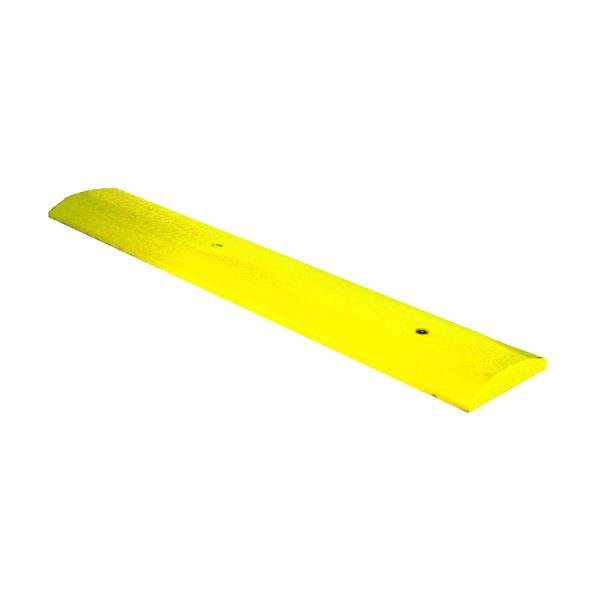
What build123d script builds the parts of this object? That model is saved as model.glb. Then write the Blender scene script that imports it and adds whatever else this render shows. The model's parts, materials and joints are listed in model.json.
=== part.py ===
from build123d import *
import math
import os

# A bolt-down speed bump: one solid plastic bar, and the lag bolts and washers that hold it to the road.
# All sizes are in millimetres. X runs along the bar, Y across it and Z up.
# The origin is the middle of the underside, which lies on the road.

# The bar's section is the same on both sides: an upright lip, a straight ramp, a shoulder and a crowned top.
bar_length = 1219.2
top_width = 151.0
ramp_run = 51.5
lip_height = 15.0
ramp_rise = 28.0
crown_rise = 7.8
shoulder_round = 40.0
lip_round = 4.0
end_round = 3.0

# The bolt holes stand in a row beside the middle line, towards the front edge at -Y.
first_hole_from_end = 180.0
hole_spacing = 550.0
hole_offset = 17.0

# The hex lag bolts, three eighths of an inch by three and a half inches.
head_sides = 6
head_across_flats = 14.29
head_height = 6.35
head_edge = 0.5
head_chamfer_angle = 30.0
shank_diameter = 9.1
shank_length = 31.75
thread_diameter = 9.525
thread_run = 50.15
point_length = 7.0
point_diameter = 1.2
end_head_turn = 12.0
middle_head_turn = 41.0

# The flat washers under the heads.
washer_diameter = 20.64
washer_thickness = 1.65
washer_edge = 0.3

# Fits: how far the heads lie under the crown, and the play on each side of what passes through.
head_sink = 2.5
recess_play = 2.38
bore_play = 1.6
washer_play = 0.4

# Sizes that follow from the ones above.
bar_width = top_width + 2 * ramp_run
shoulder_height = lip_height + ramp_rise
bar_height = shoulder_height + crown_rise
hole_y = -hole_offset
end_hole_x = bar_length / 2 - first_hole_from_end
middle_hole_x = end_hole_x - hole_spacing
head_across_corners = head_across_flats / math.cos(math.pi / head_sides)
recess_diameter = max(washer_diameter, head_across_corners) + 2 * recess_play
recess_depth = head_sink + head_height + washer_thickness
bore_diameter = thread_diameter + 2 * bore_play
washer_hole = thread_diameter + 2 * washer_play
seat_height = bar_height - recess_depth
washer_top = seat_height + washer_thickness


def save(builder, name):
    """Label a finished piece and write it as its own STEP file."""
    builder.part.label = name
    export_step(builder.part, f"parts/{name}.step")


def make_washer(name, hole_x):
    """A flat ring on the seat of its recess, with its upper outer edge eased."""
    with BuildPart() as washer:
        with BuildSketch(Plane((hole_x, hole_y, seat_height))):
            Circle(washer_diameter / 2)
            Circle(washer_hole / 2, mode=Mode.SUBTRACT)
        extrude(amount=washer_thickness)
        chamfer(washer.edges().group_by(Axis.Z)[-1].sort_by(SortBy.RADIUS)[-1], washer_edge)
    save(washer, name)


def make_lag_bolt(name, hole_x, head_turn):
    """A hex head with a chamfered top, over a turned shank, a thicker threaded run and a point."""
    under_head = Plane((hole_x, hole_y, washer_top))
    upright = Plane(under_head.origin, x_dir=(1, 0, 0), z_dir=(0, -1, 0))
    bolt_axis = Axis(under_head.origin, (0, 0, 1))
    corner_radius = head_across_corners / 2
    flat_top_radius = head_across_flats / 2 - head_edge
    corner_drop = (corner_radius - flat_top_radius) * math.tan(math.radians(head_chamfer_angle))
    shank_radius = shank_diameter / 2
    thread_radius = thread_diameter / 2
    thread_start = -shank_length - (thread_radius - shank_radius)
    thread_end = -shank_length - thread_run

    with BuildPart() as bolt:
        with BuildSketch(under_head):
            RegularPolygon(head_across_flats / 2, head_sides, major_radius=False, rotation=head_turn)
        extrude(amount=head_height)
        # The turned blank that leaves the head its sloping corners.
        with BuildSketch(upright):
            with BuildLine():
                Polyline(
                    (0, 0),
                    (corner_radius, 0),
                    (corner_radius, head_height - corner_drop),
                    (flat_top_radius, head_height),
                    (0, head_height),
                    close=True,
                )
            make_face()
        revolve(axis=bolt_axis, mode=Mode.INTERSECT)
        with BuildSketch(upright):
            with BuildLine():
                Polyline(
                    (0, 0),
                    (shank_radius, 0),
                    (shank_radius, -shank_length),
                    (thread_radius, thread_start),
                    (thread_radius, thread_end),
                    (point_diameter / 2, thread_end - point_length),
                    (0, thread_end - point_length),
                    close=True,
                )
            make_face()
        revolve(axis=bolt_axis)
    save(bolt, name)


os.makedirs("parts", exist_ok=True)

# The bar: its section drawn across the road and carried along the length.
with BuildPart() as bump_bar:
    with BuildSketch(Plane.YZ.offset(-bar_length / 2)) as section:
        front_shoulder = (-top_width / 2, shoulder_height)
        back_shoulder = (top_width / 2, shoulder_height)
        with BuildLine():
            Polyline(
                front_shoulder,
                (-bar_width / 2, lip_height),
                (-bar_width / 2, 0),
                (bar_width / 2, 0),
                (bar_width / 2, lip_height),
                back_shoulder,
            )
            ThreePointArc(back_shoulder, (0, bar_height), front_shoulder)
        make_face()
        fillet(section.vertices().group_by(Axis.Y)[-1], shoulder_round)
        fillet(section.vertices().group_by(Axis.Y)[1], lip_round)
    extrude(amount=bar_length)
    # The edge around each square-cut end is eased everywhere but along the road.
    end_edges = bump_bar.faces().filter_by(Axis.X).edges()
    fillet(end_edges.filter_by(lambda edge: edge.center().Z > 0), end_round)
    with Locations((end_hole_x, hole_y, bar_height), (middle_hole_x, hole_y, bar_height)):
        CounterBoreHole(bore_diameter / 2, recess_diameter / 2, recess_depth)
save(bump_bar, "bump_bar")

# One washer and one lag bolt in each hole, with the heads left at their own angles.
make_washer("end_washer", end_hole_x)
make_washer("middle_washer", middle_hole_x)
make_lag_bolt("end_lag_bolt", end_hole_x, end_head_turn)
make_lag_bolt("middle_lag_bolt", middle_hole_x, middle_head_turn)

print(f"bar {bar_length} x {bar_width} x {bar_height}, holes at x {end_hole_x:.1f} and {middle_hole_x:.1f}")
print(f"seats at {seat_height:.2f}, bolt points at {washer_top - shank_length - thread_run - point_length:.2f}")
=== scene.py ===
# %% [markdown]
# # A bolt-down speed bump
#
# The part is one solid bar of yellow recycled plastic, four feet long, which two lag bolts and two washers hold
# to the road. The CAD model gives its sizes and its moving bodies. This lesson gives it the looks: a camera, a
# worn skin for the bar, threaded bolts and stamped washers, a finish for each, and the light.
#
# All is in the CAD model's own frame, in metres: X runs along the bar, Y across it, and Z up from the road.

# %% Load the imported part
import json
import math

import bpy
import numpy as np
from mathutils import Matrix, Vector


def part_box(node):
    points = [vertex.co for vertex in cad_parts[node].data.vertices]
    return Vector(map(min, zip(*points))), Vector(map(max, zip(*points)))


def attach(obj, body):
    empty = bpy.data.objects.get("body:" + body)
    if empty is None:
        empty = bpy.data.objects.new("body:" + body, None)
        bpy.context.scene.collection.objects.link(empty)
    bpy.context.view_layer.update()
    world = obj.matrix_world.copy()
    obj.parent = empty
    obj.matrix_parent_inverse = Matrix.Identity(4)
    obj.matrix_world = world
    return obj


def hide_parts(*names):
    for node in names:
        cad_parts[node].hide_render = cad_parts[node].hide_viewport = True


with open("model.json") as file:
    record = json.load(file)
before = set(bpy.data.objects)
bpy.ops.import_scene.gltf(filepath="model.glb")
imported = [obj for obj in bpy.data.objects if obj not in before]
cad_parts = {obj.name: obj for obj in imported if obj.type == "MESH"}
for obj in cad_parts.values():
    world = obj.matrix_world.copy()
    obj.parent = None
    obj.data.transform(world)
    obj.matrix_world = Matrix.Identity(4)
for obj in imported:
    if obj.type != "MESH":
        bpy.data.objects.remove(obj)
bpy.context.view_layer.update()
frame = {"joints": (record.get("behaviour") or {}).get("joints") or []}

# %% [markdown]
# ## The sizes that come with the part
#
# The CAD nodes say how large the bar is, where its holes are and how high the washers and bolt heads lie. Reading
# those numbers from the frame keeps the dressed pieces on the solids, with nothing to fit by eye.

# %% Sizes from the frame
mm = 0.001
half_length, half_width, bar_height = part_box("bump_bar")[1]
joints = {joint["name"]: joint for joint in frame["joints"]}
hole_at = {place: Vector(joints[place + "_turn"]["pos_m"]) for place in ("end", "middle")}
washer_low, washer_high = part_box("end_washer")
bolt_low, bolt_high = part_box("end_lag_bolt")
seat_height = washer_low.z
washer_top = washer_high.z
print(f"bar {2 * half_length:.4f} x {2 * half_width:.4f} x {bar_height:.4f} m, washers at {seat_height:.4f} m")

# %% [markdown]
# ## The camera
#
# The photograph was taken from above the bar's near front corner. Fitting a camera to the bar's outline gave the
# eye, its target, the slight lean of the picture and the focal length in pixels. A camera object looks along its
# own -Z with its own Y up, so its turn is a matrix whose columns are the picture's right, the picture's up and the
# direction back to the eye.

# %% Camera
image_side = 598
focal_length_px = 910.0
camera_eye = Vector((1.2516, -1.2843, 0.7129))
camera_target = Vector((0.1560, -0.0481, 0.0254))
camera_roll = math.radians(4.68)


def aim(eye, target, roll=0.0):
    """Matrix of something at eye that looks at target, with its right-hand side raised by the roll."""
    ahead = (target - eye).normalized()
    level = ahead.cross(Vector((0, 0, 1))).normalized()
    upright = level.cross(ahead)
    right = level * math.cos(roll) + upright * math.sin(roll)
    up = upright * math.cos(roll) - level * math.sin(roll)
    turn = Matrix((right, up, -ahead)).transposed().to_4x4()
    return Matrix.Translation(eye) @ turn


def add_object(name, data):
    """A new object in the scene, at the origin."""
    item = bpy.data.objects.new(name, data)
    bpy.context.scene.collection.objects.link(item)
    return item


lens = bpy.data.cameras.new("camera")
lens.sensor_width = 36.0
lens.lens = lens.sensor_width * focal_length_px / image_side
camera = add_object("camera", lens)
camera.matrix_world = aim(camera_eye, camera_target, camera_roll)
bpy.context.scene.camera = camera
print(f"camera with a {lens.lens:.1f} mm lens, {(camera_target - camera_eye).length:.2f} m from its target")

# %% [markdown]
# ## Surfaces as grids
#
# Every new piece is worked out as grids of points, arrays with rows along one direction of the surface and
# columns along the other. Grids that meet have the same points along the seam, so joining them only means
# counting points that lie together as one. Blender's Merge by Distance could do that, but numpy also tells
# whether the result is closed: then each edge is walked once each way.

# %% Grids to meshes
welds_per_metre = 1e7


def join_patches(patches):
    """Vertices and faces from a list of (points, keep, flip) grids, without the cells where keep is false.

    Points that agree to a tenth of a micrometre become one vertex. A cell with a side of no length turns into a
    triangle, written as a quad whose last two corners agree, and a cell with less is dropped."""
    points, quads, count = [], [], 0
    for grid, keep, flip in patches:
        number = count + np.arange(grid[..., 0].size).reshape(grid.shape[:2])
        cells = np.stack((number[:-1, :-1], number[1:, :-1], number[1:, 1:], number[:-1, 1:]), axis=-1)
        cells = cells.reshape(-1, 4) if keep is None else cells[keep]
        quads.append(cells[:, ::-1] if flip else cells)
        points.append(grid.reshape(-1, 3))
        count += number.size
    points = np.concatenate(points)
    keys = np.round(points * welds_per_metre).astype(np.int64)
    _, first, vertex = np.unique(keys, axis=0, return_index=True, return_inverse=True)
    quads = vertex.reshape(-1)[np.concatenate(quads)]
    for corner in range(4):
        same = quads[:, corner] == quads[:, (corner + 1) % 4]
        quads[same] = np.roll(quads[same], 2 - corner, axis=1)
    pairs = ((0, 1), (1, 2), (2, 0), (1, 3), (3, 0))
    flat = np.any([quads[:, a] == quads[:, b] for a, b in pairs], axis=0)
    return points[first], quads[~flat]


def shell_report(points, quads):
    """Whether the faces close up, walking each edge once each way, and the volume that they hold."""
    sides = np.concatenate([quads[:, [a, (a + 1) % 4]] for a in range(4)])
    sides = sides[sides[:, 0] != sides[:, 1]]
    forward, backward = (np.sort(sides @ order) for order in ((len(points), 1), (1, len(points))))
    closed = bool((np.diff(forward) > 0).all()) and np.array_equal(forward, backward)
    a, b, c, d = (points[quads[:, corner]] for corner in range(4))
    return closed, np.einsum("ij,ij->", a, np.cross(b, c) + np.cross(c, d)) / 6


def make_piece(name, patches, crease=math.radians(40), **masks):
    """A mesh object from grids, smooth except over creases, with a vertex attribute for each mask function.

    The mask functions get x, y and z in millimetres."""
    points, quads = join_patches(patches)
    closed, volume = shell_report(points, quads)
    three = quads[:, 2] == quads[:, 3]
    mesh = bpy.data.meshes.new(name)
    mesh.from_pydata(points.tolist(), [], quads[~three].tolist() + quads[three, :3].tolist())
    mesh.shade_smooth()
    mesh.set_sharp_from_angle(angle=crease)
    for mask, function in masks.items():
        layer = mesh.attributes.new(mask, "FLOAT", "POINT")
        layer.data.foreach_set("value", function(*points.T / mm).astype(np.float32))
    print(f"{name}: {2 * len(quads) - three.sum()} triangles, closed {closed}, {volume * 1e6:.1f} cm3")
    return add_object(name, mesh)


# %% [markdown]
# ## The bar's section
#
# Cut across the road, the bar is an upright lip, a straight ramp, a soft shoulder and a slightly crowned top, the
# same on both sides. It could be drawn as a curve and extruded, but wear needs points to push about, so the
# section is a row of points with the outward direction at each. One half is worked out from the foot of the lip up
# to the shoulder, by the distance from the bar's middle line, and mirrored for the other half.

# %% Half of the section
top_width = 151 * mm
lip_height = 15 * mm
ramp_rise = 28 * mm
shoulder_round = 40 * mm
lip_round = 4 * mm
lip_steps = 6
lip_round_steps = 5
shoulder_round_steps = 4
grid_step = 3.5 * mm

half_top = top_width / 2
crown_rise = bar_height - lip_height - ramp_rise
crown_radius = (half_top ** 2 + crown_rise ** 2) / (2 * crown_rise)
crown_centre = np.array([0.0, bar_height - crown_radius])
shoulder = np.array([half_top, lip_height + ramp_rise])
lip_corner = np.array([half_width, lip_height])
ramp_along = (shoulder - lip_corner) / np.linalg.norm(shoulder - lip_corner)
ramp_normal = np.array([ramp_along[1], -ramp_along[0]])


def straight_run(start, end, steps):
    """Evenly spaced points from start to end, with the direction to the right of the way as their normal."""
    share = np.linspace(0, 1, steps + 1)[:, None]
    along = (end - start) / np.linalg.norm(end - start)
    return start + share * (end - start), np.tile([along[1], -along[0]], (steps + 1, 1))


def round_run(centre, radius, first, last, steps):
    """Evenly spaced points on an arc between two angles, with the way out from its centre as their normal."""
    angle = np.linspace(first, last, steps + 1)
    normal = np.stack([np.cos(angle), np.sin(angle)], axis=1)
    return centre + radius * normal, normal


# The lip's rounding touches the upright lip and the ramp.
lip_drop = lip_round * (1 - ramp_normal[0]) / ramp_normal[1]
lip_centre = np.array([half_width - lip_round, lip_height - lip_drop])

# The shoulder's rounding has its centre one radius inside the ramp, and as far from the crown's centre as the
# crown's radius less its own. That is a quadratic in the distance along the ramp.
from_crown = shoulder - shoulder_round * ramp_normal - crown_centre
half_b = from_crown @ ramp_along
root = math.sqrt(half_b ** 2 - from_crown @ from_crown + (crown_radius - shoulder_round) ** 2)
from_crown = from_crown + (root - half_b) * ramp_along
shoulder_centre = crown_centre + from_crown

ramp_angle, crown_angle = (math.atan2(way[1], way[0]) for way in (ramp_normal, from_crown))
lip_foot, lip_top = np.array([half_width, 0.0]), np.array([half_width, lip_centre[1]])
ramp_start = lip_centre + lip_round * ramp_normal
ramp_end = shoulder_centre + shoulder_round * ramp_normal
runs = (
    straight_run(lip_foot, lip_top, lip_steps),
    round_run(lip_centre, lip_round, 0, ramp_angle, lip_round_steps),
    straight_run(ramp_start, ramp_end, round(np.linalg.norm(ramp_end - ramp_start) / grid_step)),
    round_run(shoulder_centre, shoulder_round, ramp_angle, crown_angle, shoulder_round_steps),
)
side_points, side_normals = (np.concatenate([part[0]] + [run[1:] for run in part[1:]]) for part in zip(*runs))
print(f"half section of {len(side_points)} points, crown radius {crown_radius:.3f} m")

# %% [markdown]
# ## The whole section and the rows along the bar
#
# Between the shoulders lies the crown, an arc so flat that its points can be spaced by their distance across the
# bar. Each bolt hole gets a square window in the grid, which a ring-shaped patch fills later, so rows and columns
# pass through the edges of the windows. Towards the ends the rows crowd together, because there the edge is
# rounded and darkened, at the near end with painted shade.

# %% Rows and columns
hole_window = 24.5 * mm
end_round = 3 * mm
end_round_steps = 5
edge_rows = end_round + 1.5 * mm


def stations(marks, step):
    """Numbers that pass through all the marks, evenly spaced between each two of them, about a step apart."""
    gaps = zip(marks[:-1], marks[1:])
    spans = [np.linspace(a, b, max(1, round((b - a) / step)), endpoint=False) for a, b in gaps]
    return np.concatenate(spans + [[marks[-1]]])


def crown_height(y):
    """Height of the crown's arc above the road at a distance y from the middle line."""
    return crown_centre[1] + np.sqrt(crown_radius ** 2 - y ** 2)


def crown_normal(y):
    """Outward direction of the crown, which points away from the arc's centre."""
    return np.stack([0 * y, y / crown_radius, np.sqrt(1 - (y / crown_radius) ** 2)], axis=-1)


crown_edge = side_points[-1, 0]
hole_y = hole_at["end"].y
crown_y = stations([-crown_edge, hole_y - hole_window, hole_y + hole_window, crown_edge], grid_step)[1:-1]
crown_points = np.stack([crown_y, crown_height(crown_y)], axis=1)
mirror = np.array([-1, 1])
section = np.concatenate([side_points * mirror, crown_points, side_points[::-1]])
section_normal = np.concatenate([side_normals * mirror, crown_normal(crown_y)[:, 1:], side_normals[::-1]])

end_angle = np.linspace(0, math.pi / 2, end_round_steps + 1)[:-1]
from_end = end_round * (1 - np.cos(end_angle))
row_marks = [side * (half_length - back) for side in (-1, 1) for back in (end_round, edge_rows)]
row_marks += [hole_at[place].x + side * hole_window for side in (-1, 1) for place in hole_at]
inner_x = stations(sorted(row_marks), grid_step)
row_x = np.concatenate([-half_length + from_end, inner_x, half_length - from_end[::-1]])
print(f"{len(row_x)} rows along the bar, {len(section)} columns across it")

# %% [markdown]
# ## Wear that takes material away
#
# A bump like this is cast from ground-up plastic, so its faces are never quite flat, and wheels, ploughs and
# handling knock bits from its edges. At the near end the back shoulder has also been pressed down, and the plastic
# has crept out over the ramp below it. The depth of the wear is a function of the place alone: low ripples, chips
# along the edges and that pressed shoulder. It is measured inwards from the CAD solid, so where the plastic has
# crept out it is negative.

# %% Depth of wear
random = np.random.default_rng(48)
ripple_depth = 0.5 * mm
wave_count = 14
wave_x = 2 * math.pi / random.uniform(0.15, 0.9, wave_count)
wave_y = 2 * math.pi / random.uniform(0.05, 0.25, wave_count) * random.choice([-1, 1], wave_count)
wave_start = random.uniform(0, 2 * math.pi, wave_count)

press_start = half_length - 110 * mm
press_across = np.array([-11, 25, 50, 81, 97, 110, 118, 123, 127]) * mm
press_depth = np.array([0, 2.0, 2.8, 4.2, 0, -2.8, -3.3, -2.5, 0]) * mm

# Chips lie along the ends' edges and the lips. The last one is a deep nick in the front lip.
end_chips, lip_chips = 44, 40
nick_x, nick_reach, nick_depth = half_length - 67 * mm, 9 * mm, 1.6 * mm
picks = random.integers(lip_steps, len(section) - lip_steps, end_chips)
on_ends = np.column_stack([random.choice([-half_length, half_length], end_chips), section[picks]])
chip_x = random.uniform(-half_length, half_length, lip_chips)
chip_y = random.choice([-half_width, half_width], lip_chips)
on_lips = np.column_stack([chip_x, chip_y, np.full(lip_chips, lip_height)])
chip_centres = np.concatenate([on_ends, on_lips, [[nick_x, -half_width, 3 * mm]]])
chip_reaches = np.append(random.uniform(4, 11, end_chips + lip_chips) * mm, nick_reach)
chip_depths = np.append(random.uniform(0.2, 1.1, end_chips + lip_chips) * mm, nick_depth)


def ripples(points):
    """Depth from nothing to the ripple depth: plane waves with long and short crests, added up and centred."""
    phase = points[..., 0, None] * wave_x + points[..., 1, None] * wave_y + wave_start
    return ripple_depth * np.clip(0.5 + 0.9 * np.sin(phase).mean(axis=-1), 0, 1)


def press_share(x):
    """Share of the full pressing: nothing up to its start, and growing evenly from there to the near end."""
    return np.clip((x - press_start) / (half_length - press_start), 0, 1)


def pressed(points):
    """Depth of the pressed shoulder: straight runs across the bar, from a fold in the crown to the back lip."""
    return press_share(points[..., 0]) * np.interp(points[..., 1], press_across, press_depth)


def chips(points):
    """Depth of the chips: each is a smooth dent, full at its centre and nothing at its reach."""
    total = np.zeros(points.shape[:-1])
    for centre, reach, depth in zip(chip_centres, chip_reaches, chip_depths):
        square = ((points - centre) ** 2).sum(axis=-1) / reach ** 2
        total = np.maximum(total, depth * np.clip(1 - square, 0, 1) ** 2)
    return total


def wear_depth(points):
    """How far the skin lies inside the CAD solid's at each place."""
    return ripples(points) + pressed(points) + chips(points)


print(f"{len(chip_centres)} chips, the deepest {chip_depths.max() / mm:.1f} mm")

# %% [markdown]
# ## The bar's skin
#
# The top is the section carried along the rows. Near an end it moves inwards along its own normals, by as much as
# a quarter circle says, which rounds the edge, and everywhere by the wear. Each end is then filled by upright
# columns from the underside to the edge, and the underside by one flat grid. Both reuse the points of the top's
# border, so they meet without a gap.

# %% Top, ends and underside
foot_crowding = 1.8
inner_columns = slice(lip_steps, len(section) - lip_steps)
inset = np.zeros(len(row_x))
inset[:end_round_steps] = end_round * (1 - np.sin(end_angle))
inset[-end_round_steps:] = inset[:end_round_steps][::-1]

unworn = np.empty((len(row_x), len(section), 3))
unworn[..., 0] = row_x[:, None]
unworn[..., 1:] = section - inset[:, None, None] * section_normal
inwards = -np.concatenate([np.zeros((len(section), 1)), section_normal], axis=1)
bar_top = unworn + wear_depth(unworn)[..., None] * inwards

bar_under = bar_top[:, inner_columns].copy()
bar_under[:, [0, -1]] = bar_top[:, [0, -1]]
bar_under[..., 2] = 0


def end_grid(outline, foot):
    """Upright columns from the underside up to the outline, with the lip's own points as the outermost columns.

    The rows lie closer together towards the foot, where the darkening along the foot is to follow."""
    share = np.linspace(0, 1, lip_steps + 1)[:, None, None] ** foot_crowding
    points = foot + share * (outline[inner_columns] - foot)
    points[:, 0] = outline[:lip_steps + 1]
    points[:, -1] = outline[:len(section) - lip_steps - 2:-1]
    return points


far_end, near_end = (end_grid(bar_top[row], bar_under[row]) for row in (0, -1))
print("top", bar_top.shape, "underside", bar_under.shape, "ends", near_end.shape)

# %% [markdown]
# ## The bolt holes
#
# Each hole is a wide recess for the washer and the head, and a narrower bore for the shank. Cutting it with a
# boolean would leave long thin faces on the crown, so the hole is one more grid instead. Its first ring is the
# border of the window in the top. The next ones close in to the rim, which wear has rounded, then it goes down the
# wall, across the seat, down the bore and out again to the border of the window in the underside.

# %% Rings of a hole
recess_radius = 12.7 * mm
bore_radius = 6.36 * mm
rim_round = 1.8 * mm
crown_shares = (0.3, 0.6, 0.85, 1)
rim_turns = np.radians((30, 60, 90))
wall_shares = (0.25, 0.5, 0.75, 1)
seat_radii = np.linspace(recess_radius, bore_radius, 4)[1:]
bore_heights = np.linspace(seat_height, 0, 9)[1:]
under_shares = (0.2, 0.5, 1)


def window_of(place):
    """First and last row and column of the window around a hole."""
    return [[int(np.abs(values - centre - side * hole_window).argmin()) for side in (-1, 1)]
            for values, centre in zip((row_x, section[:, 0]), hole_at[place])]


def border(grid, rows, columns):
    """The points around a window, once round against the clock from its lowest row and column."""
    (a, b), (c, d) = rows, columns
    return np.concatenate((grid[a:b, c], grid[b, c:d], grid[b:a:-1, d], grid[a, d:c:-1], grid[a:a + 1, c]))


def hole_grid(place):
    """Rings of points from the window in the top, through the hole, to the window in the underside."""
    rows, columns = window_of(place)
    outer = border(bar_top, rows, columns)
    under = border(bar_under, rows, np.subtract(columns, lip_steps))
    angle = np.linspace(-0.75 * math.pi, 1.25 * math.pi, len(outer))
    spoke = np.stack([np.cos(angle), np.sin(angle)], axis=1)
    centre = np.array(hole_at[place][:2])

    def ring(radius, height):
        """A circle of points about the bolt's axis, at one height or at a height for each point."""
        return np.column_stack([centre + radius * spoke, np.broadcast_to(height, angle.shape)])

    def on_crown(plan):
        """Points of the worn crown above places in plan."""
        points = np.column_stack([plan, crown_height(plan[:, 1])])
        return points - wear_depth(points)[:, None] * crown_normal(plan[:, 1])

    rim = centre + (recess_radius + rim_round) * spoke
    rings = [outer] + [on_crown(outer[:, :2] + share * (rim - outer[:, :2])) for share in crown_shares]
    rim_height = rings[-1][:, 2]
    for turn in rim_turns:
        radius = recess_radius + rim_round * (1 - math.sin(turn))
        rings.append(ring(radius, rim_height - rim_round * (1 - math.cos(turn))))
    wall_top = rings[-1][:, 2]
    rings += [ring(recess_radius, wall_top * (1 - share) + seat_height * share) for share in wall_shares]
    rings += [ring(radius, seat_height) for radius in seat_radii]
    rings += [ring(bore_radius, height) for height in bore_heights]
    bore_end = rings[-1]
    rings += [bore_end + share * (under - bore_end) for share in under_shares]
    return np.stack(rings), rows, columns


hole_patches = {place: hole_grid(place) for place in hole_at}
print("rings in each hole", {place: patch[0].shape for place, patch in hole_patches.items()})

# %% [markdown]
# ## Where the bar is weathered, scuffed, dirty and painted with shade
#
# A finish needs to know where sun, wheels and dirt have been at work, and where shade is painted in. Noise alone
# can't tell, so each vertex gets a few numbers, worked out from its place in millimetres, which the material reads
# as attributes and breaks up with noise. A few soft shapes, and tests of where a place lies, draw them all.

# %% Shapes for the masks
end_x, lip_y, shoulder_y = half_length / mm, half_width / mm, half_top / mm
seat_z, washer_z = seat_height / mm, washer_top / mm
recess_r, bore_r = recess_radius / mm, bore_radius / mm


def fade(value, start, end):
    """A soft step from nothing at start to one at end, as the cubic 3t2 - 2t3."""
    t = np.clip((value - start) / (end - start), 0, 1)
    return t * t * (3 - 2 * t)


def hump(distance, reach):
    """One where the distance is nothing: e to the power of minus the squared distance in reaches."""
    return np.exp(-(distance / reach) ** 2)


def from_bolt(x, y, place):
    """A place in plan, seen from a bolt's axis."""
    return np.array([x - hole_at[place].x / mm, y - hole_at[place].y / mm])


def hole_distance(x, y):
    """Distance from the nearer bolt axis, in plan."""
    return np.minimum(*[np.hypot(*from_bolt(x, y, place)) for place in hole_at])


def dust_pack(x, y):
    """One in the middle hole, where yellow dust has packed round the bolt, and nothing elsewhere."""
    return np.where(np.hypot(*from_bolt(x, y, "middle")) < 2 * recess_r, 1.0, 0.0)


def painted_slot_shade(x, y, z):
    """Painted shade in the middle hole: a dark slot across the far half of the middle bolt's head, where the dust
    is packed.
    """
    behind, beside = ((-0.75, 0.66), (0.66, 0.75)) @ from_bolt(x, y, "middle")
    return fade(behind, -4, 3) * fade(np.abs(beside - 7), 11, 4.5) * dust_pack(x, y)


def on_skin(x):
    """One on the top and the lips, falling to nothing over the rounded edges of the two end faces."""
    return fade(end_x - np.abs(x), 0, 1.5)


def on_lip(y):
    """One on the two upright lips, and nothing on the rest of the skin."""
    return fade(np.abs(y), lip_y - 3, lip_y - 1)


def on_underside(x, y, z):
    """One on the underside, from a little way inside its edges."""
    return (z < 0.01) * fade(np.minimum(end_x - np.abs(x), lip_y - np.abs(y)), 1, 6)


def in_open(x, y, z):
    """One on the skin, and nothing on the end faces and the underside."""
    return on_skin(x) * (1 - on_underside(x, y, z))


# %% [markdown]
# The first three masks are about the plastic itself, and carry painted shade too. Its yellow is warmer on the lit
# front ramp, and more of a lemon yellow, a painted shade tint, on the back of the crown, the lips and the end
# faces.
# It goes dull towards the far end, first along the front and last along the back, partly weathering and partly
# painted shade of a light that falls off towards the far end. Where it is dull it is also speckled, and by the
# near end.

# %% Masks for the plastic's colour
dull_start, dull_lag, lip_lag = -105, 280, 50


def bar_shade_lemon(x, y, z):
    """Painted shade tint, as how lemon the yellow is: most on the crown's back and the lips, which get less light,
    least on the lit front ramp and by the ends.
    """
    inland = 0.2 * fade(x, end_x - 40, end_x - 180)
    top = 0.4 * fade(y, -shoulder_y - 4, -shoulder_y + 25) + 0.3 * fade(y, -10, 40)
    top *= 1 - 0.7 * fade(x, -150, -300) * fade(y, 50, 20)
    lip = on_lip(y) * (0.25 + 0.35 * fade(x, 350, 100))
    skin = on_skin(x)
    return (inland + np.maximum(top, lip)) * skin + 0.7 * (1 - skin)


def bar_dull_and_shade(x, y, z):
    """How weathered the plastic is, with painted shade for a light that falls off towards both ends: a flat
    parabola of the share of the way to the far end.

    Towards the crown's back it starts later, and along its middle it stays weaker. On the lips it starts later
    and grows faster. It is stronger low on the front ramp and by the far end, and has begun by the near end."""
    # Most of this darkening is painted shade, for a light that falls off towards the ends, laid over some
    # weathering.
    lip = on_lip(y)
    start = dull_start - dull_lag * fade(y, -10, 65) - lip_lag * lip
    way = np.clip((start - x) / (end_x + dull_start), 0, 1)
    spared = 0.08 * fade(y, -70, -50) + 0.34 * fade(y, -42, -8)
    spared *= 1 - 0.6 * fade(y, 10, 35)
    far = np.clip(way * (1.36 - 0.33 * way) * (1 + 0.25 * lip), 0, 1) * (1 - spared)
    far += 0.1 * hump(x + 290, 120) * fade(y, -102, -117)
    far += 0.16 * fade(x, -end_x + 45, -end_x + 10) * fade(y, 15, -15)
    far *= 1 - 0.7 * on_underside(x, y, z)
    near = 0.16 * fade(x, end_x - 45, end_x - 10) * fade(y, -95, -60)
    return np.minimum(far + near * on_skin(x), 1)


def bar_stipple(x, y, z):
    """How speckled the face is: most on the crown's far half, less by the near end and on the front shoulder."""
    far = fade(x, -60, -260) * (0.4 + 0.6 * fade(y, -70, -10))
    near = 0.6 * fade(x, end_x - 110, end_x - 40) * fade(y, -100, -70) * on_skin(x)
    trail = 0.7 * hump(y + 62, 20) * fade(x, 150, 0)
    return 0.12 + 0.88 * np.maximum.reduce([far, near, trail])


# %% [markdown]
# The other three are about painted shade, wear and dirt: painted shade in green on the back ramp, over the pressed
# shoulder and by the near end, ochre scuffs where wheels climb the front shoulder and by the near end, and road
# dirt with painted shade in the holes, and darkening along the foot and in the edges.

# %% Masks for painted shade, scuffs and dirt
# Scuffs: amount, place along and across the bar, reach along and across it.
scuffs = [(0.58, end_x - 8, -72, 14, 20), (0.45, end_x - 50, -72, 30, 10), (0.36, 65, -19, 50, 3)]
# Darker spots on the front lip: amount, distance from the near end, reach along and across, heights of nothing and
# all.
lip_dark_spots = [(0.5, 0, 40, 6, 9, 2), (0.8, end_x - nick_x / mm, 5, 3, 9, 4), (0.42, 163, 5, 3, 11, 13)]


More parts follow.
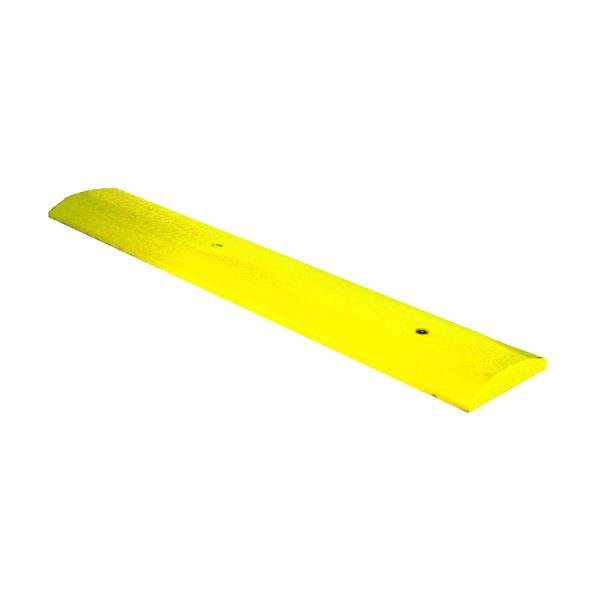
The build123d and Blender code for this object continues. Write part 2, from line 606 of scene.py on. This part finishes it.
def bar_painted_shade(x, y, z):
    """Painted shade in green: on the back ramp, on the pressed shoulder beyond a slanting line, and a veil by the
    near end.

    On the ramp it thins out towards the far end and the lip. The mask also darkens one spot by the end hole."""
    share = press_share(x * mm)
    line = shoulder_y - 4 - 21 * share
    to_lip = fade(y, lip_y, lip_y - 30)
    # Painted shade on the pressed shoulder, which faces away from the light.
    pressing = 0.72 * fade(y, line - 18, line + 10) * fade(share, -0.15, 0.5) * to_lip
    ramp = 0.55 * fade(y, shoulder_y - 9, shoulder_y - 2) * (0.35 + 0.65 * fade(x, -150, 150)) * to_lip
    rim = 0.12 * fade(y, 40, 58) * fade(x, 60, 160) * to_lip
    veil = fade(x, end_x - 50, end_x - 5) * (0.05 * fade(y, -95, -65) + 0.12 * fade(y, -20, 45))
    spot = 0.3 * hump(x - hole_at["end"].x / mm + 24, 5) * hump(y - 1, 5)
    return np.maximum.reduce([pressing, ramp, rim, veil, spot]) * in_open(x, y, z)


def bar_scuff(x, y, z):
    """Scuffed ovals and a slanting trail, and an ochre band that is darker towards the foot of the near front lip.
    """
    ovals = [amount * hump(x - at_x, along) * hump(y - at_y, across)
             for amount, at_x, at_y, along, across in scuffs]
    trail = 0.55 * hump(x + 60, 135) * hump(y + 58 - 0.2 * (x + 60), 20)
    # An ochre band, darker towards the foot of the near front lip.
    lip = 1.2 * fade(x, 460, 600) * fade(y, -lip_y + 3, -lip_y) * fade(z, 16, 3)
    return np.maximum.reduce(ovals + [trail, lip]) * in_open(x, y, z)


def bar_dirt_and_shade(x, y, z):
    """Dirt and painted shade: painted shade with some dirt low in the holes, painted shade in the near end's edge,
    and darkening on a rim, along the foot, on the underside, on the front lip and in the far end's edge.
    """
    skin, under, from_axis = on_skin(x), on_underside(x, y, z), hole_distance(x, y)
    # Painted shade with some dirt: dark low in the recesses and bores, and in the middle hole's slot.
    hole_r = np.where(z > seat_z - 0.1, recess_r, bore_r) + 0.1
    in_hole = (from_axis < hole_r) * fade(z, seat_z + 6, seat_z + 2)
    in_hole *= np.maximum(1 - dust_pack(x, y), 0.6 * painted_slot_shade(x, y, z))
    rim = fade((0.50, -0.86) @ from_bolt(x, y, "end"), 8, 12.5) * (z > seat_z + 6)
    rim *= fade(from_axis, recess_r + 6, recess_r + 2.5)
    far = fade(x, -100, -400)
    low = np.exp(-z / (2.2 + 2 * far))
    foot = low * (0.15 + 0.7 * far + 0.3 * (x > 0) * (1 - skin)) * (1 - under) + 0.4 * under
    spots = [amount * hump(end_x - x - back, along) * hump(y + lip_y, across) * fade(z, none, full)
             for amount, back, along, across, none, full in lip_dark_spots]
    below_edge = np.interp(y, *section.T / mm) - z
    uneven = 0.88 + 0.12 * np.sin(y / 7) + 0.1 * np.sin(y / 2.7)
    far_edge = (0.42 + 0.2 * skin) * uneven * fade(x, -end_x + 14, -end_x + 4)
    far_edge *= fade(below_edge, 12, 0) * fade(y, 60, 0)
    # Painted shade in the near end's edge, where the pressed shoulder ends.
    near_band = fade(end_x - x, edge_rows / mm, end_round / mm) * fade(end_x - x, 0.8, 1.8)
    near_edge = 0.95 * near_band * fade(np.abs(y - 96), 24, 5) * skin
    return np.maximum.reduce([in_hole, rim, foot, far_edge, near_edge] + spots)


# %% Put the bar together
open_cells = np.ones((len(row_x) - 1, len(section) - 1), bool)
for _, rows, columns in hole_patches.values():
    open_cells[slice(*rows), slice(*columns)] = False
under_cells = open_cells[:, lip_steps:len(section) - 1 - lip_steps]
bar_patches = [(bar_top, open_cells, False), (bar_under, under_cells, True)]
bar_patches += [(far_end, None, False), (near_end, None, True)]
bar_patches += [(rings, None, True) for rings, _, _ in hole_patches.values()]
bar_masks = {"shade_lemon": bar_shade_lemon, "dull_and_shade": bar_dull_and_shade, "stipple": bar_stipple}
bar_masks |= {"painted_shade": bar_painted_shade, "scuff": bar_scuff, "dirt_and_shade": bar_dirt_and_shade}
bar = make_piece("bar_skin", bar_patches, **bar_masks)
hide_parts("bump_bar")
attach(bar, "bump")

# %% [markdown]
# ## The lag bolts
#
# A hex lag bolt is forged with its head and then rolled, so the thread stands out over the shank. In the CAD solid
# the thread is a plain cylinder. Here it is a grid whose rows climb along the helix: going once round moves a
# point up by one pitch, and the radius depends only on the place within the pitch. Rows that would run past an end
# gather on the end circle, and the joining step drops the faces that have no area left.

# %% Bolt sizes
across_flats = 14.29 * mm
corner_power = 90
head_height = bolt_high.z - washer_top
head_edge = 0.25 * mm
chamfer_start = across_flats / 2 - 0.5 * mm
chamfer_slope = math.tan(math.radians(30))
head_turn = {"end": math.radians(12), "middle": math.radians(41)}
shank_radius = 4.55 * mm
shank_end = washer_top - 31.75 * mm
thread_pitch = 3.629 * mm
thread_places = [0, 0.30, 0.46, 0.54, 0.70]
thread_rise = [0, 0, 1, 1, 0]
crest_radius = 4.76 * mm
root_radius = 3.4 * mm
point_start = bolt_low.z + 7 * mm
point_radius = 0.6 * mm
bolt_angle = np.linspace(0, 2 * math.pi, 73)
print(f"head {head_height / mm:.2f} mm high, thread from {shank_end:.4f} m down to {bolt_low.z:.4f} m")


# %% Bolt surfaces
def polar(angle, radius, height):
    """Points around an axis from rows of radius and height."""
    angle, radius, height = np.broadcast_arrays(angle, radius, height)
    return np.stack([radius * np.cos(angle), radius * np.sin(angle), height], axis=-1)


def head_grid(turn):
    """The head, row by row: out from the shank, up its flats, over the turned chamfer and in to the middle.

    The flats' radius is a high power mean over those that face an angle, which rounds the corners slightly."""
    flats = turn + math.radians(30) + np.radians(60) * np.arange(6)
    facing = np.clip(np.cos(bolt_angle[:, None] - flats), 0, None)
    side = across_flats / 2 / (facing ** corner_power).sum(axis=1) ** (1 / corner_power)
    past = side - chamfer_start
    side_top = head_height - past * chamfer_slope
    rows = [
        (shank_radius, 0),
        (side - 2 * head_edge, 0),
        (side - 0.3 * head_edge, 0.3 * head_edge),
        (side, 2 * head_edge),
        (side, side_top / 2),
        (side, side_top - 0.6 * head_edge),
        (side - 0.4 * head_edge, side_top),
        (chamfer_start + 0.3 * past, head_height - 0.3 * past * chamfer_slope),
        (chamfer_start, head_height),
        (chamfer_start - 0.4 * mm, head_height),
    ]
    rows += [(share * chamfer_start, head_height) for share in (0.75, 0.5, 0.25, 0)]
    return np.stack([polar(bolt_angle, radius, washer_top + height) for radius, height in rows])


def thread_grid():
    """The thread: rows along the helix, with flat roots, sloping flanks and a narrow crest, tapering to the point.

    Over the first turn the root sinks from the shank, and over the point root and crest close in on its tip."""
    turns_up = math.ceil((shank_end - bolt_low.z) / thread_pitch) + 1
    level = (np.arange(-1, turns_up)[:, None] + thread_places).reshape(-1, 1)
    rise = np.tile(thread_rise, turns_up + 1)[:, None]
    height = bolt_low.z + (level + bolt_angle / (2 * math.pi)) * thread_pitch
    height = np.clip(height, bolt_low.z, shank_end)
    sunk = np.clip((shank_end - height) / thread_pitch, 0, 1)
    taper = np.clip((height - bolt_low.z) / (point_start - bolt_low.z), 0, 1)
    crest, root = (point_radius + (shank_radius + sunk * (full - shank_radius) - point_radius) * taper
                   for full in (crest_radius, root_radius))
    return polar(bolt_angle, root + rise * (crest - root), height)


bolt_shank = polar(bolt_angle, shank_radius, np.linspace(shank_end, washer_top, 9)[:, None])
bolt_tip = polar(bolt_angle, [[0], [point_radius]], bolt_low.z)

# %% [markdown]
# The heads' plating has a blue cast that the thread never had. Dirt and painted shade cover the head up from the
# washer and over its rim, and leave a bright blue painted highlight in its middle. Yellow dust lies round the end
# bolt's head. The middle bolt, in the wheels' path, is packed in it, with a slot of painted shade across it.


# %% Masks for the steel, and the bolts
def steel_dirt_and_shade(x, y, z):
    """Dirt and painted shade on the steel: on the washer and up the head's flats low in the recess, from the
    head's rim to near its middle, and under the dust.
    """
    # Dark from the head's rim to near its middle, which leaves a painted highlight in the middle.
    head = fade(hole_distance(x, y), 0.6, 3.4) * fade(z, washer_z - 1, washer_z)
    above_seat = fade(z, seat_z - 3, seat_z)
    # Painted shade on the washer and the foot of the head, low in the recess.
    washer = above_seat * fade(z, washer_z + 3, washer_z)
    packed = above_seat * dust_pack(x, y)
    return np.maximum.reduce([head, washer, packed, 0.3 + 0 * z])


def steel_blue_and_highlight(x, y, z):
    """The plating's blue cast on the head alone, with a painted highlight strongest in its clean middle, and not
    under packed dust.
    """
    middle = fade(hole_distance(x, y), 5.5, 3)
    return fade(z, washer_z + 0.5, washer_z + 2) * (0.3 + 0.7 * middle) * (1 - dust_pack(x, y))


def steel_dust(x, y, z):
    """Yellow dust: packed over washer and head in the middle hole, and loose round the head in the end one."""
    loose = 0.7 * fade(hole_distance(x, y), 6.5, 8) * fade(z, washer_z + 2, washer_z + 0.5)
    return np.maximum(dust_pack(x, y), loose) * fade(z, seat_z, washer_z)


def bolt_edge(x, y, z):
    """Nearness to the head's corners and the thread's crests, where the plating wears off first."""
    radius = hole_distance(x, y)
    corner = fade(radius, chamfer_start / mm + 0.4, chamfer_start / mm + 1.4) * (z > washer_z)
    crest = fade(radius, root_radius / mm, crest_radius / mm) * (z < shank_end / mm)
    return np.maximum(0.4 * corner, crest)


steel_masks = {"dirt_and_shade": steel_dirt_and_shade, "blue_and_highlight": steel_blue_and_highlight, "dust": steel_dust, "slot_shade": painted_slot_shade}


def make_steel(place, piece, node, grids, edge, crease):
    """A steel piece from grids about its own axis, moved to its hole."""
    axis = np.array([hole_at[place].x, hole_at[place].y, 0])
    patches = [(grid + axis, None, True) for grid in grids]
    skin = make_piece(f"{place}_{piece}_skin", patches, math.radians(crease), edge=edge, **steel_masks)
    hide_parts(f"{place}_{node}")
    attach(skin, f"{place}_{piece}")
    return skin


bolts = []
for place, turn in head_turn.items():
    bolt_grids = (head_grid(turn), bolt_shank, thread_grid(), bolt_tip)
    bolts.append(make_steel(place, "bolt", "lag_bolt", bolt_grids, bolt_edge, crease=25))

# %% [markdown]
# ## The washers
#
# A flat washer is stamped from sheet. The punch pulls the upper outer edge round and leaves the lower one sharp,
# and the hole is the other way about. That profile, a closed loop of radius and height turned about the bolt's
# axis, is the whole piece.

# %% Washers
washer_radius = (washer_high.x - washer_low.x) / 2
washer_hole = 5.16 * mm
washer_middle = (washer_radius + washer_hole) / 2
stamped_turn = np.radians(np.linspace(0, 90, 5))
stamped_round = 0.45 * mm * np.column_stack([1 - np.cos(stamped_turn), 1 - np.sin(stamped_turn)])
washer_loop = np.concatenate([
    [[washer_radius, seat_height]],
    (washer_radius, washer_top) - stamped_round,
    [[washer_middle, washer_top], [washer_hole, washer_top]],
    (washer_hole, seat_height) + 0.5 * stamped_round,
    [[washer_middle, seat_height], [washer_radius, seat_height]],
])
washer_grid = polar(np.linspace(0, 2 * math.pi, 97), washer_loop[:, :1], washer_loop[:, 1:])


def washer_edge(x, y, z):
    """Nearness to the stamped outer edge."""
    return fade(hole_distance(x, y), washer_radius / mm - 1.2, washer_radius / mm)


washers = [make_steel(place, "washer", "washer", [washer_grid], washer_edge, crease=40) for place in hole_at]

# %% [markdown]
# ## Node groups for the finishes
#
# Plastic and steel both go blotchy, get dirty and wear at the edges, only with other colours and at other sizes.
# Each of these effects is a node group, built once, which takes the place on the piece and a few numbers and puts
# out a mask.


# %% Node helpers
def add_node(tree, kind, settings=None, **inputs):
    """The outputs of a new node, with its properties set and each named input set to a value or linked."""
    node = tree.nodes.new(kind)
    for name, value in (settings or {}).items():
        setattr(node, name, value)
    for name, value in inputs.items():
        numbered = name[0] == "i" and name[1:].isdigit()
        socket = node.inputs[int(name[1:]) if numbered else name.replace("_", " ")]
        if isinstance(value, bpy.types.NodeSocket):
            tree.links.new(value, socket)
        else:
            socket.default_value = value
    return node.outputs


def new_group(name, inputs, output):
    """A node group with a place and some numbers going in and one mask coming out, its inputs and its output."""
    tree = bpy.data.node_groups.new(name, "ShaderNodeTree")
    tree.interface.new_socket("Place", in_out="INPUT", socket_type="NodeSocketVector")
    for label in inputs:
        tree.interface.new_socket(label, in_out="INPUT", socket_type="NodeSocketFloat")
    tree.interface.new_socket(output, in_out="OUTPUT", socket_type="NodeSocketFloat")
    print("group", name, "from Place,", ", ".join(inputs), "to", output)
    return tree, tree.nodes.new("NodeGroupInput").outputs, tree.nodes.new("NodeGroupOutput").inputs[output]


def math_node(tree, operation, first, second=0.0):
    """The result of a math node on two numbers or sockets."""
    return add_node(tree, "ShaderNodeMath", {"operation": operation}, i0=first, i1=second)[0]


def swing(tree, value, amount):
    """A number from nothing to one, turned into a swing to either side of nothing."""
    return math_node(tree, "MULTIPLY", math_node(tree, "SUBTRACT", value, 0.5), amount)


def remap(tree, value, low, high, to_low=0.0, to_high=1.0, way="SMOOTHSTEP"):
    """A value stretched from one range to another, softly or in a straight line, and held at its ends."""
    ends = {"From_Min": low, "From_Max": high, "To_Min": to_low, "To_Max": to_high}
    return add_node(tree, "ShaderNodeMapRange", {"interpolation_type": way}, Value=value, **ends)[0]


def noise(tree, place, size, detail, roughness):
    """Noise whose blotches are about as large as the size, in metres, from nothing to one."""
    grain = {"Scale": math_node(tree, "DIVIDE", 1.0, size), "Detail": detail, "Roughness": roughness}
    return add_node(tree, "ShaderNodeTexNoise", Vector=place, **grain)[0]


def stretched(tree, place, scale):
    """A place with each of its three coordinates multiplied by the scale's."""
    return add_node(tree, "ShaderNodeVectorMath", {"operation": "MULTIPLY"}, i0=place, i1=scale)[0]


# %% Group: blotches
# Coarse and fine noise, drawn out along X by a stretch: the uneven colour of a cast or weathered face.
blotches, given, result = new_group("blotches", ("Size", "Stretch"), "Blotch")
squeeze = math_node(blotches, "DIVIDE", 1.0, given["Stretch"])
scale = add_node(blotches, "ShaderNodeCombineXYZ", X=squeeze, Y=1.0, Z=1.0)[0]
drawn = stretched(blotches, given["Place"], scale)
fine_size = math_node(blotches, "MULTIPLY", given["Size"], 0.12)
coarse = noise(blotches, drawn, given["Size"], detail=5.0, roughness=0.6)
fine = noise(blotches, drawn, fine_size, detail=3.0, roughness=0.7)
shares = [math_node(blotches, "MULTIPLY", *part) for part in ((coarse, 0.65), (fine, 0.35))]
blotches.links.new(remap(blotches, math_node(blotches, "ADD", *shares), 0.32, 0.68), result)

# %% Group: broken mask
# A painted mask eaten into by noise, so that dirt and wear end in specks and not in a soft airbrushed border.
broken_mask, given, result = new_group("broken_mask", ("Mask", "Size", "Softness"), "Broken")
grain = noise(broken_mask, given["Place"], given["Size"], detail=6.0, roughness=0.7)
pushed = math_node(broken_mask, "ADD", given["Mask"], swing(broken_mask, grain, 1.6))
edges = [math_node(broken_mask, way, 0.5, given["Softness"]) for way in ("SUBTRACT", "ADD")]
eaten = remap(broken_mask, pushed, *edges)
present = remap(broken_mask, given["Mask"], 0.0, 0.12)
broken_mask.links.new(math_node(broken_mask, "MULTIPLY", eaten, present), result)

# %% Group: pits and scratches
# Small pits, from the distance to scattered points, and hair scratches, from noise drawn out along X.
fine_marks, given, result = new_group("fine_marks", ("Pit Spacing", "Scratch Width"), "Marks")
pits_per_metre = math_node(fine_marks, "DIVIDE", 1.0, given["Pit Spacing"])
voronoi = add_node(fine_marks, "ShaderNodeTexVoronoi", Vector=given["Place"], Scale=pits_per_metre)
pits = remap(fine_marks, voronoi["Distance"], 0.28, 0.12)
drawn = stretched(fine_marks, given["Place"], (0.04, 1.0, 1.0))
hair = noise(fine_marks, drawn, given["Scratch Width"], detail=2.0, roughness=0.5)
from_hair = math_node(fine_marks, "ABSOLUTE", math_node(fine_marks, "SUBTRACT", hair, 0.5))
scratches = math_node(fine_marks, "MULTIPLY", remap(fine_marks, from_hair, 0.012, 0.0), 0.6)
fine_marks.links.new(math_node(fine_marks, "MAXIMUM", pits, scratches), result)

# %% [markdown]
# ## Yellow plastic
#
# The bar is coloured all through, a strong yellow with hardly any blue in it and a dry, nearly matt face. Weather
# takes it first to a tired yellow and then to olive, in lengthwise blotches and in specks, and the same colours
# carry painted shade, most towards the far end. The colour is laid on in this order: warm yellow, lemon yellow as
# a painted shade tint, weathering with painted shade, painted shade in green, scuffs, marks, and dirt with painted
# shade. Pits and grain go into a bump, because they are too small for the mesh.


# %% Material helpers
def new_material(name):
    """An empty material, its node tree and the place on the piece."""
    material = bpy.data.materials.new(name)
    material.use_nodes = True
    tree = material.node_tree
    tree.nodes.clear()
    return material, tree, add_node(tree, "ShaderNodeTexCoord")["Object"]


def use_group(tree, group, place, **inputs):
    """The mask that a node group puts out, with its inputs filled in."""
    return add_node(tree, "ShaderNodeGroup", {"node_tree": group}, Place=place, **inputs)[0]


def mask_of(tree, name):
    """One of the numbers that the piece's vertices carry."""
    return add_node(tree, "ShaderNodeAttribute", {"attribute_name": name})["Fac"]


def broken(tree, place, name, size, softness):
    """One of those numbers, broken up by noise of a size."""
    return use_group(tree, broken_mask, place, Mask=mask_of(tree, name), Size=size, Softness=softness)


def layered(tree, colour, layers):
    """A colour with others laid over it in turn, each by its mask times an amount."""
    for mask, amount, over in layers:
        share = math_node(tree, "MULTIPLY", mask, amount)
        colour = add_node(tree, "ShaderNodeMix", {"data_type": "RGBA"}, i0=share, i6=colour, i7=over)[2]
    return colour


def principled(tree, height, strength, distance, **inputs):
    """The Principled shader, with its inputs filled in and a bump of some height, as the material's surface."""
    bump = add_node(tree, "ShaderNodeBump", Strength=strength, Distance=distance, Height=height)
    shader = add_node(tree, "ShaderNodeBsdfPrincipled", Normal=bump[0], **inputs)
    add_node(tree, "ShaderNodeOutputMaterial", Surface=shader["BSDF"])


# %% Yellow plastic
# Warm yellow is the plastic where light falls on it.
warm_yellow = (0.95, 0.79, 0.0005, 1)
# Lemon yellow is a painted shade tint, for the faces that get less light.
shade_lemon_yellow = (0.87, 0.94, 0.0005, 1)
# Tired yellow and olive are weathering and also painted shade, for a light that falls off towards the far end.
tired_and_shaded_yellow = (0.624, 0.585, 0.001, 1)
dull_and_shaded_olive = (0.373, 0.430, 0.001, 1)
# Painted shade in green, for the back of the bar and by the near end.
shade_green = (0.29, 0.42, 0.001, 1)
scuff_ochre = (0.80, 0.60, 0.003, 1)
# Dark dirt, also used for painted shade low in the holes and in the near end's edge.
road_dirt_and_shade = (0.035, 0.030, 0.012, 1)

plastic, tree, place = new_material("worn_yellow_plastic")
mottle = use_group(tree, blotches, place, Size=0.05, Stretch=2.5)
streak = use_group(tree, blotches, place, Size=0.03, Stretch=9.0)
speck = use_group(tree, blotches, place, Size=0.007, Stretch=1.2)
marks = use_group(tree, fine_marks, place, Pit_Spacing=0.011, Scratch_Width=0.0016)
shade_lemon = math_node(tree, "ADD", mask_of(tree, "shade_lemon"), swing(tree, mottle, 0.25))
specks = math_node(tree, "MULTIPLY", swing(tree, speck, 0.95), mask_of(tree, "stipple"))
streaked = math_node(tree, "ADD", mask_of(tree, "dull_and_shade"), swing(tree, streak, 0.12))
dull_and_shade = math_node(tree, "ADD", streaked, specks)
uneven = [remap(tree, value, 0.0, 1.0, 0.8, 1.2) for value in (speck, mottle)]
shaded = math_node(tree, "MULTIPLY", mask_of(tree, "painted_shade"), math_node(tree, "MULTIPLY", *uneven))
colour = layered(tree, warm_yellow, [
    (shade_lemon, 1.0, shade_lemon_yellow),
    (remap(tree, dull_and_shade, 0.0, 0.5, way="LINEAR"), 1.0, tired_and_shaded_yellow),
    (remap(tree, dull_and_shade, 0.5, 1.0, way="LINEAR"), 1.0, dull_and_shaded_olive),
    (shaded, 1.0, shade_green),
    (broken(tree, place, "scuff", size=0.005, softness=0.3), 0.7, scuff_ochre),
    (marks, 0.08, dull_and_shaded_olive),
    (broken(tree, place, "dirt_and_shade", size=0.010, softness=0.4), 0.9, road_dirt_and_shade),
])
height = math_node(tree, "SUBTRACT", math_node(tree, "MULTIPLY", speck, 0.5), marks)
finish = {"Base_Color": colour, "Roughness": remap(tree, streak, 0.0, 1.0, 0.6, 0.8), "Specular_IOR_Level": 0.004}
principled(tree, height, strength=0.25, distance=0.0006, **finish)
bar.data.materials.append(plastic)
print(plastic.name, len(tree.nodes), "nodes")

# %% [markdown]
# ## Zinc-plated steel
#
# The bolts and washers have a thin zinc coat that goes grey and blotchy outdoors, with a blue cast on the heads
# and a painted highlight in the middle of each head. Dirt and painted shade darken it almost to black in the
# recess. The colour is laid on as before: plating, blue cast with the painted highlight, bright edges, marks, dirt
# with painted shade, and dust with a slot of painted shade.

# %% Zinc steel
plain_zinc = (0.40, 0.41, 0.46, 1)
dark_zinc = (0.20, 0.205, 0.24, 1)
# Bright blue for the blue cast and for the painted highlight in each head's middle.
highlight_blue_zinc = (0.29, 0.29, 0.80, 1)
bright_zinc = (0.58, 0.58, 0.62, 1)
# Black for dirt and for painted shade low in the recess.
black_dirt_and_shade = (0.010, 0.010, 0.012, 1)
yellow_dust = (0.86, 0.82, 0.002, 1)
# Dark dust for the slot of painted shade in the middle hole.
slot_shade_dust = (0.10, 0.105, 0.001, 1)

zinc, tree, place = new_material("weathered_zinc")
patina = use_group(tree, blotches, place, Size=0.006, Stretch=1.0)
marks = use_group(tree, fine_marks, place, Pit_Spacing=0.0025, Scratch_Width=0.0006)
dirty_and_shaded, dusty = (broken(tree, place, name, size=0.004, softness=0.4) for name in ("dirt_and_shade", "dust"))
# The slot of painted shade across the middle bolt's head.
slot_shade = broken(tree, place, "slot_shade", size=0.003, softness=0.5)
colour = layered(tree, plain_zinc, [
    (patina, 1.0, dark_zinc),
    (mask_of(tree, "blue_and_highlight"), 1.0, highlight_blue_zinc),
    (broken(tree, place, "edge", size=0.003, softness=0.3), 0.6, bright_zinc),
    (marks, 0.15, bright_zinc),
    (dirty_and_shaded, 1.0, black_dirt_and_shade),
    (dusty, 0.97, layered(tree, yellow_dust, [(slot_shade, 1.0, slot_shade_dust)])),
])
covered = math_node(tree, "MAXIMUM", dirty_and_shaded, dusty)
metallic = remap(tree, covered, 0.0, 1.0, 0.85, 0.0)
roughness = remap(tree, math_node(tree, "MAXIMUM", patina, covered), 0.0, 1.0, 0.38, 0.8)
finish = {"Base_Color": colour, "Metallic": metallic, "Roughness": roughness, "Specular_IOR_Level": 0.005}
principled(tree, math_node(tree, "SUBTRACT", patina, marks), strength=0.2, distance=0.0002, **finish)
for steel_piece in bolts + washers:
    steel_piece.data.materials.append(zinc)
print(zinc.name, len(tree.nodes), "nodes, on", len(bolts + washers), "pieces")

# %% [markdown]
# ## Floor and light
#
# The photograph has a white ground and an even light that leaves hardly any shade. So a plain white sky gives most
# of the light, at a level that shows colours about as they are written, and two soft lamps lift what stands
# upright: one from the camera's side and one in front of the near end. The floor is an ordinary pale floor for the
# light that bounces. Only where the camera or a mirror sees it, a glow is added, so that it reads as white and
# still keeps a deep shadow.

# %% Floor
floor_reach = 60.0
bounce_grey = (0.75, 0.75, 0.75, 1)
seen_grey = (0.35, 0.35, 0.35, 1)


def seen_straight(tree):
    """One for what the camera sees, also in a mirror or through glass, and nothing for light that bounces."""
    path = add_node(tree, "ShaderNodeLightPath")
    mirrored = math_node(tree, "MAXIMUM", path["Is Glossy Ray"], path["Is Transmission Ray"])
    return math_node(tree, "MAXIMUM", path["Is Camera Ray"], mirrored)


pale_floor, tree, place = new_material("pale_floor")
reach = add_node(tree, "ShaderNodeVectorMath", {"operation": "LENGTH"}, i0=place)["Value"]
glow = add_node(tree, "ShaderNodeEmission", Strength=remap(tree, reach, 0.5, 2.5, 0.86, 1.0))
plain, seen = (add_node(tree, "ShaderNodeBsdfDiffuse", Color=grey)[0] for grey in (bounce_grey, seen_grey))
glowing = add_node(tree, "ShaderNodeAddShader", i0=glow[0], i1=seen)[0]
either = add_node(tree, "ShaderNodeMixShader", i0=seen_straight(tree), i1=plain, i2=glowing)
add_node(tree, "ShaderNodeOutputMaterial", Surface=either[0])

floor_corners = np.array([[-1, -1, 0], [1, -1, 0], [1, 1, 0], [-1, 1, 0]]) * floor_reach
floor_mesh = bpy.data.meshes.new("floor")
floor_mesh.from_pydata(floor_corners.tolist(), [], [(0, 1, 2, 3)])
floor_mesh.materials.append(pale_floor)
floor = add_object("floor", floor_mesh)

# %% Lamps and sky
sky_level = 0.99


def soft_lamp(name, eye, target, size, power):
    """A round soft lamp at eye, facing the target."""
    light = bpy.data.lights.new(name, "AREA")
    light.shape = "DISK"
    light.size = size
    light.energy = power
    add_object(name, light).matrix_world = aim(eye, target)
    print(f"{name}: {power} W at {(eye - target).length:.2f} m")


soft_lamp("front_lamp", Vector((0.60, -3.60, 1.60)), Vector((0.10, 0.0, 0.03)), size=1.6, power=31.0)
soft_lamp("end_lamp", Vector((2.20, -0.25, 0.30)), Vector((0.60, 0.0, 0.03)), size=0.4, power=4.8)

sky = bpy.data.worlds.new("white_sky")
sky.use_nodes = True
tree = sky.node_tree
tree.nodes.clear()
strength = remap(tree, seen_straight(tree), 0.0, 1.0, sky_level, 1.0)
background = add_node(tree, "ShaderNodeBackground", Color=(1, 1, 1, 1), Strength=strength)
add_node(tree, "ShaderNodeOutputWorld", Surface=background[0])
bpy.context.scene.world = sky
bpy.context.scene.view_settings.view_transform = "Standard"
print(f"sky level {sky_level}")
